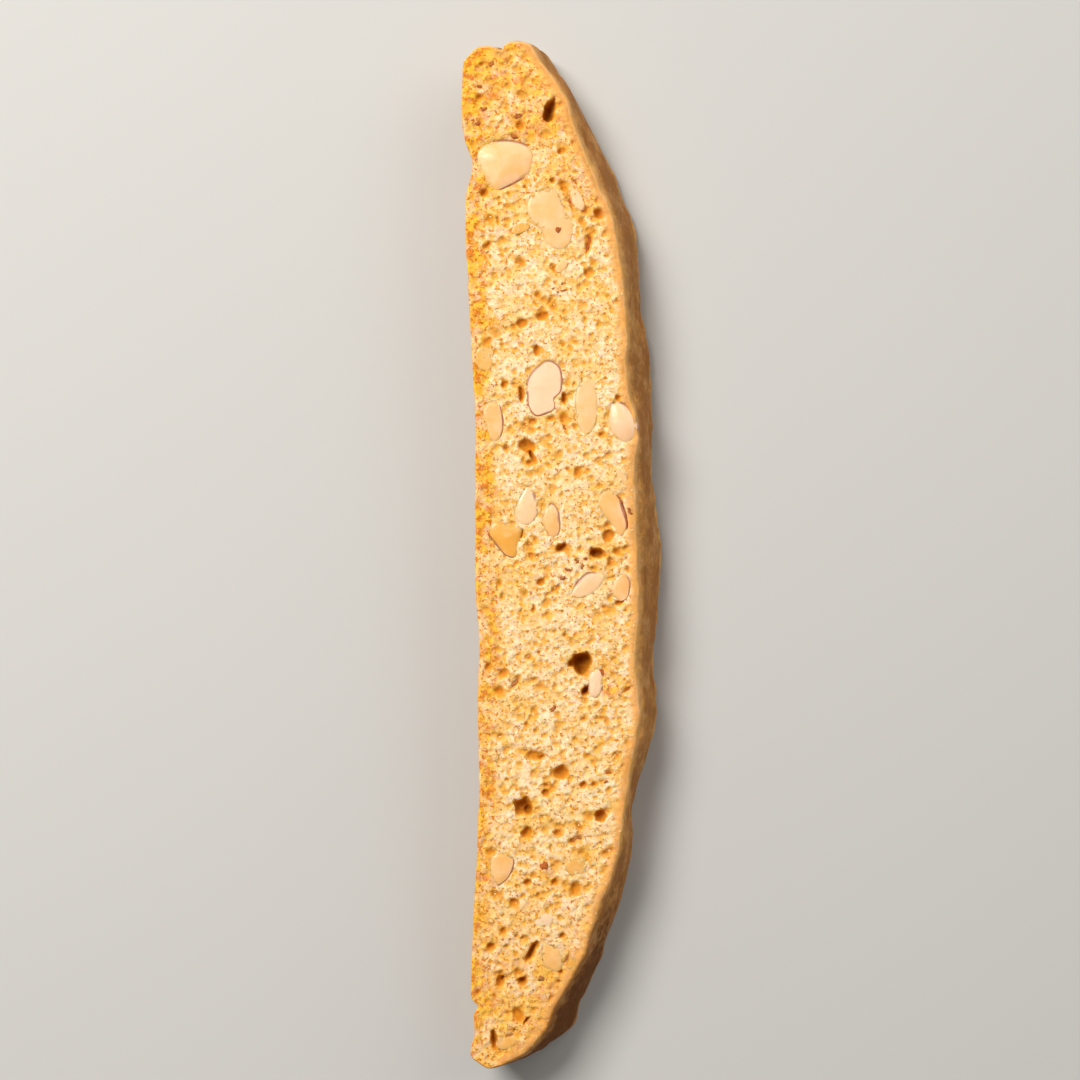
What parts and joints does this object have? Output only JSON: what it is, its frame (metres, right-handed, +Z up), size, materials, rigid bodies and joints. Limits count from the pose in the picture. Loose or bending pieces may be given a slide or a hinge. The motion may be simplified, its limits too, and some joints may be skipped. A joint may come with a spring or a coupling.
{
  "type": "almond biscotti",
  "caption": "Long twice-baked almond biscuit, cut across its loaf, lying on one cut face with almond pieces showing in both.",
  "frame": {"origin": "bottom centre of the slice's box, on the cut face that it lies on", "axes": "+X from the loaf's flat base to its domed crust, +Y along the slice from its pointed end to its blunt end, +Z up through the slice's thickness"},
  "size_m": [0.0366, 0.1808, 0.015],
  "materials": {
    "crumb": "dry baked biscuit crumb",
    "almond": "cut toasted almond, faintly waxy"
  },
  "bodies": {
    "root": {"crumb": "crumb", "almond_upper_01": "almond", "almond_upper_02": "almond", "almond_upper_03": "almond", "almond_upper_04": "almond", "almond_upper_05": "almond", "almond_upper_06": "almond", "almond_upper_07": "almond", "almond_upper_08": "almond", "almond_upper_09": "almond", "almond_upper_10": "almond", "almond_upper_11": "almond", "almond_upper_12": "almond", "almond_upper_13": "almond", "almond_upper_14": "almond", "almond_upper_15": "almond", "almond_lower_01": "almond", "almond_lower_02": "almond", "almond_lower_03": "almond", "almond_lower_04": "almond", "almond_lower_05": "almond", "almond_lower_06": "almond", "almond_lower_07": "almond", "almond_lower_08": "almond", "almond_lower_09": "almond"}
  },
  "joints": []
}
